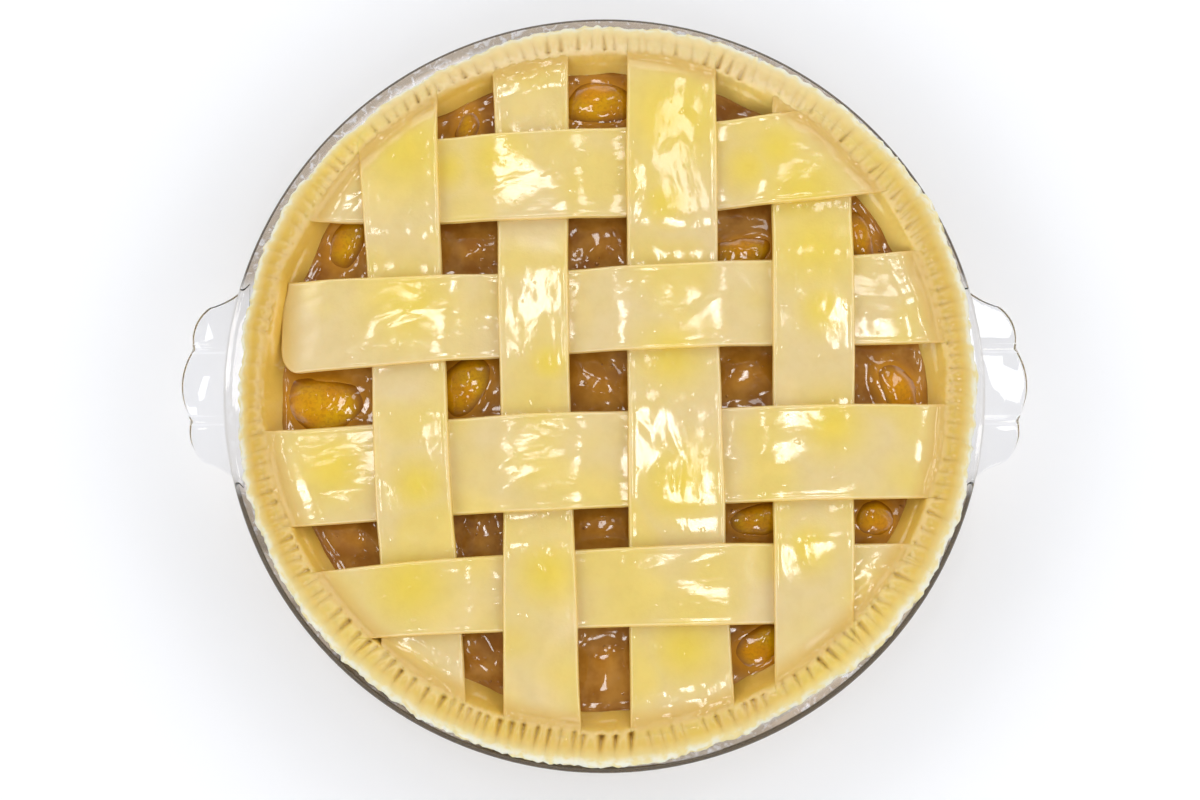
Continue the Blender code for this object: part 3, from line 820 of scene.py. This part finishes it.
# Peach slices that show between the strips: middle X, middle Y, height of the top over the syrup, length
# and width in millimetres, turn in degrees, and how bare of syrup the slice is
PEACHES = (
    (-1.7, 95.0, 1.9, 32, 20, 4, 1.0),
    (-47.0, 88.0, 1.4, 19, 13, 70, 0.8),
    (-85.0, 48.0, 1.5, 30, 17, 68, 0.5),
    (-43.5, 47.5, 1.1, 24, 17, 20, 0.1),
    (0.5, 47.0, 1.0, 26, 18, -25, 0.15),
    (46.0, 45.5, 1.8, 28, 15, 10, 0.6),
    (86.5, 50.0, 1.6, 26, 14, 104, 0.5),
    (-92.5, -5.5, 2.1, 33, 23, -6, 1.0),
    (-45.0, -1.0, 2.0, 28, 19, 60, 0.9),
    (-1.5, 1.0, 1.1, 26, 19, -40, 0.40),
    (46.5, 2.0, 1.2, 24, 17, 15, 0.35),
    (96.5, -3.0, 1.7, 29, 17, 112, 0.8),
    (-82.0, -51.5, 1.2, 24, 14, -20, 0.2),
    (-41.0, -50.0, 1.0, 22, 14, 80, 0.05),
    (-1.5, -48.0, 1.2, 26, 15, 5, 0.35),
    (50.5, -44.0, 1.9, 26, 14, 14, 0.7),
    (88.7, -45.5, 2.0, 17, 15, 0, 0.95),
    (-42.0, -87.0, 1.2, 22, 14, -65, 0.2),
    (0.5, -91.0, 1.2, 22, 18, 50, 0.25),
    (50.0, -85.0, 1.8, 24, 16, 34, 0.9),
)
BARE_FROM = 0.45
# The syrup's slow swells and its small ones: size, pattern number and height
SYRUP_SWELLS = ((0.011, 0.0, 0.00035), (0.0045, 3.0, 0.00018))
# Size and height of the ripples in the wet film
SYRUP_RIPPLES = (0.0128, 0.0015)
SLICE_RIPPLES = (0.0060, 0.0006)
SYRUP_OVER_SLICE = 0.0003
MENISCUS_HEIGHT = 0.0006
MENISCUS_REACH = 0.0016
BUBBLES = 170
BUBBLE_SEED = 7
BUBBLE_RADII = (0.00025, 0.0007)
MILLIMETRE = 0.001
SYRUP_BROWN = (0.365, 0.135, 0.013, 1)
SYRUP_AMBER = (0.560, 0.265, 0.045, 1)
SYRUP_GLOW = (0.620, 0.260, 0.006, 1)
PEACH_ORANGE = (0.700, 0.290, 0.001, 1)
PEACH_YELLOW = (0.740, 0.400, 0.001, 1)
PEACH_BROWN = (0.340, 0.120, 0.004, 1)
PEACH_SPECKLE = (0.480, 0.190, 0.001, 1)


def rotate(x, y, turn):
    cosine, sine = math.cos(math.radians(turn)), math.sin(math.radians(turn))
    return x * cosine - y * sine, x * sine + y * cosine


def slice_reach(peach, x, y):
    """How far places are from the middle of a slice: 1 is its outline."""
    middle_x, middle_y, rise, length, width, turn, bare = peach
    along, across = rotate(x - middle_x * MILLIMETRE, y - middle_y * MILLIMETRE, -turn)
    along, across = along / (length * MILLIMETRE / 2), across / (width * MILLIMETRE / 2)
    return np.hypot(along, across - slice_side(peach) * PEACH_BEND * (along * along - 0.5))


def slice_side(peach):
    """The side that a slice bends to."""
    return 1 if PEACHES.index(peach) % 2 else -1


def syrup_surface(x, y):
    """Height of the syrup and how orange it glows over a slice, from 0 to 1."""
    height = SYRUP_LEVEL
    for swell in SYRUP_SWELLS:
        height = height + cloud(x, y, *swell)
    glow = 0.25 * smooth_step(-0.1, 0.6, cloud(x, y, 0.016, 8.0))
    for peach in PEACHES:
        rise, width, bare = peach[2] * MILLIMETRE, peach[4] * MILLIMETRE, peach[6]
        reach = slice_reach(peach, x, y)
        outside = np.maximum(reach - 0.75, 0.0) * width / 2
        if bare < BARE_FROM:
            height = height + (rise + SYRUP_OVER_SLICE) * (1 - smooth_step(0.15, 1.05, reach))
        else:
            height = height + MENISCUS_HEIGHT * np.exp(-((outside / MENISCUS_REACH) ** 2))
        glow = np.maximum(glow, bare * (1 - smooth_step(0.6, 1.25, reach)))
    at_wall = np.maximum(SYRUP_RADIUS - np.hypot(x, y), 0.0)
    return height + MENISCUS_HEIGHT * np.exp(-((at_wall / MENISCUS_REACH) ** 2)), glow


def wet_finish(shader, where, colour, ripple_size, ripple_height):
    """The filling's colour under a clear wet film with ripples and small beads."""
    beads = between(noise(where, 520, 0.0), 0.71, 0.83, 0.0, 0.07)
    ripples = compute("ADD", noise(where, 1 / ripple_size, 1.0, 0.4, 0.4), beads)
    finish = {
        "Base Color": colour,
        "Roughness": 0.35,
        "Specular IOR Level": 0.1,
        "Coat Weight": 1.0,
        "Coat Roughness": 0.06,
        "Coat IOR": 1.6,
        "Coat Normal": bump(ripples, ripple_height),
    }
    feed(shader, finish)


def syrup_material():
    syrup, shader, where = start_material("brown_syrup")
    spice = between(noise(where, 120, 3.0, 0.6), 0.35, 0.7)
    colour = blend(spice, SYRUP_BROWN, SYRUP_AMBER)
    colour = blend(painted(where, "glow"), colour, SYRUP_GLOW)
    wet_finish(shader, where, colour, *SYRUP_RIPPLES)
    return syrup


def peach_material():
    """Orange flesh with fine fibres, browner where the syrup stands against its sides."""
    peach, shader, where = start_material("peach_flesh")
    height = xyz_of(where)["Z"]
    patches = between(noise(where, 110), 0.35, 0.7)
    colour = blend(patches, PEACH_ORANGE, PEACH_YELLOW)
    speckles = between(noise(where, 900, 3.0, 0.6), 0.44, 0.66, 0.0, 0.5)
    colour = blend(speckles, colour, PEACH_SPECKLE)
    sunk = between(height, SYRUP_LEVEL + 0.0016, SYRUP_LEVEL + 0.0004)
    colour = blend(sunk, colour, PEACH_BROWN)
    wet_finish(shader, where, colour, *SLICE_RIPPLES)
    return peach


def make_syrup():
    sides = heel(DOUGH, 4) + [(SYRUP_RADIUS + SYRUP_OVERLAP, SYRUP_LEVEL)]
    radii = np.arange(SYRUP_RADIUS - SYRUP_RING_STEP / 2, SYRUP_RING_STEP, -SYRUP_RING_STEP)
    syrup = turn_on_disc("brown_syrup", sides + [(radius, SYRUP_LEVEL) for radius in radii], SYRUP_POINTS)
    places = points_of(syrup)
    top = places[:, 2] > SYRUP_LEVEL - 1e-5
    x, y = places[top, 0], places[top, 1]
    height, glow_on_top = syrup_surface(x, y)
    places[top, 2] = height
    move_points(syrup, places)
    glow = np.zeros(len(places))
    glow[top] = glow_on_top
    paint(syrup, "glow", glow)
    shade_and_dress(syrup, syrup_material(), "filling")


def make_slice(peach):
    """A slice lying in the syrup: a long rounded body, bent a little along its length, with shallow dents."""
    middle_x, middle_y, rise, length, width, turn, bare = peach
    bpy.ops.mesh.primitive_uv_sphere_add(segments=64, ring_count=40, radius=1.0)
    piece = bpy.context.object
    along, across, up = points_of(piece).T
    dent = cloud(along + middle_x, across + middle_y, SLICE_DENT_SIZE)
    dent = 1 + SLICE_DENT * dent * (1 - along * along)
    half_length, half_width = length * MILLIMETRE / 2, width * MILLIMETRE / 2
    x = along * half_length * dent
    y = across * half_width * dent + slice_side(peach) * PEACH_BEND * half_width * (along * along - 0.5)
    x, y = rotate(x, y, turn)
    z = SYRUP_LEVEL + rise * MILLIMETRE + (up * dent - 1) * PEACH_DEPTH / 2
    move_points(piece, np.stack([x + middle_x * MILLIMETRE, y + middle_y * MILLIMETRE, z], axis=1))
    return piece


def join_as(name, pieces):
    bpy.ops.object.select_all(action="DESELECT")
    for piece in pieces:
        piece.select_set(True)
    bpy.context.view_layer.objects.active = pieces[0]
    bpy.ops.object.join()
    joined = bpy.context.object
    name_piece(joined, name)
    return joined


def make_bubbles():
    """Bubbles half sunk in the syrup, between the slices and the wall."""
    draw = random.Random(BUBBLE_SEED)
    bubbles = []
    while len(bubbles) < BUBBLES:
        turn = 2 * math.pi * draw.random()
        reach = SYRUP_RADIUS * math.sqrt(draw.random())
        size = BUBBLE_RADII[0] + (BUBBLE_RADII[1] - BUBBLE_RADII[0]) * draw.random() ** 2
        x, y = reach * math.cos(turn), reach * math.sin(turn)
        level = syrup_surface(np.array([x]), np.array([y]))[0][0]
        bpy.ops.mesh.primitive_uv_sphere_add(segments=8, ring_count=6, radius=size, location=(x, y, level))
        bubbles.append(bpy.context.object)
    joined = join_as("syrup_bubbles", bubbles)
    bpy.ops.object.transform_apply()
    shade_and_dress(joined, syrup_material(), "filling")


make_syrup()
slices = join_as("peach_slices", [make_slice(peach) for peach in PEACHES])
shade_and_dress(slices, peach_material(), "filling")
make_bubbles()


# The lattice is eight strips rolled from the same dough, woven over and under and brushed with egg wash.
# Their ends rise over the crust's wall and are pressed into its fork-marked edge, but one stops short, stuck
# to the wall.
STRIP_THICKNESS = 0.0028
STRIP_EDGE = 0.0011
STRIP_LIP_HEIGHT = 0.00010
STRIP_LIP_INWARD = 0.0013
STRIP_LIP_WIDTH = 0.0007
STRIP_WAVE = 0.0004
STRIP_WAVE_SIZE = 0.030
STRIP_SWELL = 0.00022
STRIP_SWELL_SIZE = 0.021
STRIP_REACH = 0.100
STRIP_END_RADIUS = 0.1172
SHORT_STRIP = "strip_across_2"
SHORT_STRIP_END = 0.1064
SHORT_STRIP_CORNER = 0.0068
SHORT_STRIP_END_LEVEL = 0.0450
SHORT_STRIP_STUCK = (0.0900, 0.1064)
SHORT_STRIP_GOLDEN = (0.0975, 0.1064)
LATTICE_LEVEL = 0.0463
LATTICE_DOME = 0.0012
CROSSING_NEAR_END = 0.085
# A strip's rises and falls are smoothed over three places along it: each one's share and distance
RISE_SMOOTHING = ((0.25, -0.003), (0.5, 0.0), (0.25, 0.003))
STRIP_END_THICKNESS = 0.0010
STRIP_END_LIFT = 0.00030
# How proud of the band a strip's end stands, in metres by radius, until it has sunk into the dough
END_RADII = (0.1100, 0.1125, 0.1172)
END_PROUD = (0.00045, 0.00030, -0.00060)
ONTO_BAND_RADII = (0.1010, 0.1118)
GOLDEN_RADII = (0.1040, 0.1105)
DIP_RADIUS = 0.1090
DIP_DEPTH = 0.0007
DIP_WIDTH = 0.0022
EDGE_LINE_WIDTH = 0.0009
STRIP_ROWS = 230
STRIP_COLUMNS = 90
END_CROWDING = 0.88
SIDE_CROWDING = 0.2
# Each strip's middle line and width at its far end, halfway and near end, in millimetres. The far ends are at
# +Y and the near ends at -Y for the strips that run down, and at -X and +X for those across.
STRIPS_DOWN = (
    ((-69.7, -63.7, -57.5), (27.6, 24.7, 26.5)),
    ((-24.5, -22.3, -19.8), (25.5, 23.0, 24.5)),
    ((22.8, 23.0, 25.0), (30.0, 30.6, 33.0)),
    ((69.5, 68.7, 67.0), (26.0, 26.8, 25.0)),
)
STRIPS_ACROSS = (
    ((67.5, 70.5, 79.5), (27.0, 31.0, 30.0)),
    ((18.2, 24.0, 28.0), (31.0, 28.3, 31.0)),
    ((-31.4, -25.5, -23.0), (32.0, 31.7, 31.0)),
    ((-73.5, -67.0, -65.5), (21.5, 25.7, 25.0)),
)
# Where the egg wash lies thick and yellow on the strips: X, Y and reach in millimetres
WASH_POOLS = (
    (-66, 78, 19), (-52, 72, 9), (66, 64, 17), (58, 78, 12), (24, 90, 23), (-64, 26, 16), (-35, 75, 14),
    (22, 8, 12), (24, -34, 15), (-88, -28, 14), (-18, 6, 8), (74, -14, 12), (26, -86, 13), (70, 46, 18),
    (72, 24, 9), (-60, -34, 10), (-18, -62, 12), (66, -54, 9), (20, 60, 9), (-62, -66, 16), (48, 72, 10),
)
STREAK_STRETCH = (0.62, 1.0, 1.0)
# Painted shade with pooled egg wash, gold where the strips' ends dip
END_WASH_AND_SHADE = (0.690, 0.450, 0.110, 1)
# Painted contact shade with pooled egg wash, gold along the strips' cut edges
EDGE_WASH_AND_SHADE = (0.720, 0.450, 0.080, 1)


class Strip:
    """A dough strip. Its route is measured along t, which is Y for a strip down and X for one across."""

    def __init__(self, name, down, lines, widths, number):
        self.name = name
        self.down = down
        self.lines = lines
        self.widths = widths
        self.number = number
        self.stations = []

    def curve(self, values, t):
        """A smooth curve through the values at the far end, halfway and the near end."""
        share = t / STRIP_REACH if self.down else -t / STRIP_REACH
        far, middle, near = values
        return (middle + (far - near) / 2 * share + ((far + near) / 2 - middle) * share * share) * MILLIMETRE

    def middle(self, t):
        return self.curve(self.lines, t)

    def half_width(self, t):
        return self.curve(self.widths, t) / 2

    def sides(self, t):
        return self.middle(t) - self.half_width(t), self.middle(t) + self.half_width(t)

    def cover(self, other):
        """The stretch of this strip's t that the other strip crosses."""
        corners = [other.sides(side) for side in self.sides(other.middle(self.middle(0.0)))]
        return min(low for low, high in corners), max(high for low, high in corners)

    def weave(self, others):
        """Notes where the strip lies over (+) and under (-) the others, which it crosses by turns."""
        lift = STRIP_THICKNESS / 2
        for other in others:
            over = ((self.number + other.number) % 2 == 0) == self.down
            self.stations += [(t, lift if over else -lift) for t in self.cover(other)]
        self.stations.sort()
        first, last = self.stations[0], self.stations[-1]
        self.stations.insert(0, (-STRIP_END_RADIUS, first[1] if first[0] < -CROSSING_NEAR_END else 0.0))
        self.stations.append((STRIP_END_RADIUS, last[1] if last[0] > CROSSING_NEAR_END else 0.0))

    def offset(self, t):
        """Height over or under the middle of the lattice, with smooth rises and falls."""
        starts, levels = np.array(self.stations).T
        spot = np.clip(np.searchsorted(starts, t) - 1, 0, len(starts) - 2)
        part = smooth_step(0.0, 1.0, (t - starts[spot]) / (starts[spot + 1] - starts[spot]))
        return levels[spot] + (levels[spot + 1] - levels[spot]) * part


def edge_height(from_edge):
    """Half the strip's thickness, rounded down to its cut edge, with a low lip just inside it."""
    inside = np.clip(STRIP_EDGE - from_edge, 0.0, STRIP_EDGE)
    rounded = np.sqrt(np.maximum(STRIP_EDGE ** 2 - inside ** 2, 0.0))
    lip_height = STRIP_LIP_HEIGHT * np.exp(-(((from_edge - STRIP_LIP_INWARD) / STRIP_LIP_WIDTH) ** 2))
    return STRIP_THICKNESS / 2 - STRIP_EDGE + rounded + lip_height


def lay_strip(strip):
    """Cuts a flat strip, gives it thickness, and lays it into the weave."""
    bpy.ops.mesh.primitive_grid_add(x_subdivisions=STRIP_ROWS, y_subdivisions=STRIP_COLUMNS, size=2)
    piece = bpy.context.object
    name_piece(piece, strip.name + "_dough")
    apply_modifier(piece, "SOLIDIFY", thickness=STRIP_THICKNESS, offset=0)
    along, aside, up = points_of(piece).T
    aside = np.clip(aside, -1, 1)
    aside = (1 - SIDE_CROWDING) * aside + SIDE_CROWDING * np.sin(aside * math.pi / 2)
    along = np.clip(along, -1, 1)
    along = np.sin(along * END_CROWDING * math.pi / 2) / math.sin(END_CROWDING * math.pi / 2)
    rough_t = along * STRIP_REACH
    line = strip.middle(rough_t) + aside * strip.half_width(rough_t)
    near = np.sqrt(STRIP_END_RADIUS ** 2 - line ** 2)
    far = -near
    if strip.name == SHORT_STRIP:
        lower = np.clip((-aside - 0.4) / 0.6, 0.0, 1.0)
        upper = smooth_step(0.3, 1.0, aside)
        far = SHORT_STRIP_CORNER * (1 - np.sqrt(1 - lower * lower) + 0.25 * upper) - SHORT_STRIP_END
    t = far + (near - far) * (along + 1) / 2
    wave = STRIP_WAVE * cloud(t, aside * 0.02, STRIP_WAVE_SIZE, strip.number * 5.0 + strip.down)
    half_width = strip.half_width(t) + wave
    line = strip.middle(t) + aside * half_width
    x, y = (line, t) if strip.down else (t, line)
    from_side = (1 - np.abs(aside)) * half_width
    from_end = np.minimum(t - far, near - t)
    thickness = edge_height(np.minimum(from_side, from_end))
    radius = np.hypot(x, y)
    stops_short = (t < 0) & (strip.name == SHORT_STRIP)
    at_end = np.where(stops_short, 0.0, smooth_step(*ONTO_BAND_RADII, radius))
    thickness = thickness * (1 - at_end * (1 - STRIP_END_THICKNESS / STRIP_THICKNESS))
    dome = LATTICE_DOME * (1 - (radius / SYRUP_RADIUS) ** 2)
    smoothed = sum(part * strip.offset(t + shift) for part, shift in RISE_SMOOTHING)
    swell = STRIP_SWELL * cloud(x, y, STRIP_SWELL_SIZE, 2.0 + strip.number)
    level = LATTICE_LEVEL + dome + smoothed + swell
    if strip.name == SHORT_STRIP:
        stuck = smooth_step(*SHORT_STRIP_STUCK, -t) * (1 - 0.45 * smooth_step(0.4, 1.0, -aside))
        thickness = thickness * (1 - 0.5 * stuck)
        level = level + (SHORT_STRIP_END_LEVEL - level) * stuck
    angle = np.arctan2(y, x)
    inner = band_inner(angle)
    share = (radius - inner) / (band_outer(angle) - inner)
    pressed, slit = fork_press(angle % (2 * math.pi), radius, share)
    proud = np.interp(radius, END_RADII, END_PROUD) + STRIP_END_LIFT * smoothed / STRIP_THICKNESS * 2
    dip = DIP_DEPTH * np.exp(-(((radius - DIP_RADIUS) / DIP_WIDTH) ** 2))
    end_level = BAND_TOP - band_drop(np.maximum(share, 0.0)) + band_swell(x, y, share) - pressed
    end_level = end_level + proud - dip - STRIP_END_THICKNESS / 2
    level = level + (end_level - level) * at_end
    move_points(piece, np.stack([x, y, level + np.sign(up) * thickness], axis=1))
    run = [t, aside * half_width + 0.3 * strip.number, np.full_like(t, 0.5 * strip.down)]
    paint(piece, "run", np.stack(run, axis=1))
    # Where the painted contact shade with pooled egg wash lies along the cut edges
    paint(piece, "edge", 1 - smooth_step(0.0, EDGE_LINE_WIDTH, from_side))
    wash = np.zeros_like(x)
    for pool_x, pool_y, reach in WASH_POOLS:
        away = np.hypot(x - pool_x * MILLIMETRE, y - pool_y * MILLIMETRE) / (reach * MILLIMETRE)
        wash = np.maximum(wash, np.exp(-away ** 2))
    paint(piece, "wash", wash)
    # Painted shade with pooled wash: gold where the ends dip, and where the short strip's end meets the wall
    golden = smooth_step(*SHORT_STRIP_GOLDEN, -t)
    paint(piece, "end_shade_and_wash", np.where(stops_short, golden, smooth_step(*GOLDEN_RADII, radius)))
    paint(piece, "share", np.where(at_end > 0, share, -1.0))
    # The slits' painted shade with pooled egg wash where the strips' ends lie on the band
    paint(piece, "slit", np.where(at_end > 0, slit, 0.0))
    return piece


def strip_dough():
    """Cream dough under wet egg wash, yellow where the wash is thick, and gold of painted shade with pooled
    wash where the ends dip and along the cut edges.
    """
    dough, shader, where = start_material("strip_dough")
    streaks = stretch(painted(where, "run", "Vector"), STREAK_STRETCH)
    cloudy = between(noise(where, 34, 1.5), 0.34, 0.66, 0.0, 0.62)
    yellow = compute("MAXIMUM", painted(where, "wash"), cloudy)
    colour = blend(yellow, CREAM, WASHED_YELLOW)
    # Gold of painted shade with pooled egg wash at the ends
    colour = blend(painted(where, "end_shade_and_wash"), colour, END_WASH_AND_SHADE)
    # Gold of painted contact shade with pooled egg wash along the cut edges
    colour = blend(compute("MULTIPLY", painted(where, "edge"), 0.6), colour, EDGE_WASH_AND_SHADE)
    on_band = between(painted(where, "share"), -0.04, 0.16)
    colour = blend(on_band, colour, band_colour(where))
    brushed = between(noise(streaks, 60, 1.0), 0.30, 0.45, 0.35, 1.0)
    drier = between(painted(where, "end_shade_and_wash"), 0.0, 1.0, 1.0, 0.45)
    wetness = compute("MULTIPLY", brushed, band_wetness(where, 1.0), drier)
    finish_dough(shader, where, colour, wetness, wash_relief(streaks))
    return dough


def make_lattice():
    down = [Strip("strip_down_%d" % (n + 1), True, *sizes, n) for n, sizes in enumerate(STRIPS_DOWN)]
    across = [Strip("strip_across_%d" % (n + 1), False, *sizes, n) for n, sizes in enumerate(STRIPS_ACROSS)]
    finish = strip_dough()
    for strips, others in ((down, across), (across, down)):
        for strip in strips:
            strip.weave(others)
            shade_and_dress(lay_strip(strip), finish, strip.name)


make_lattice()
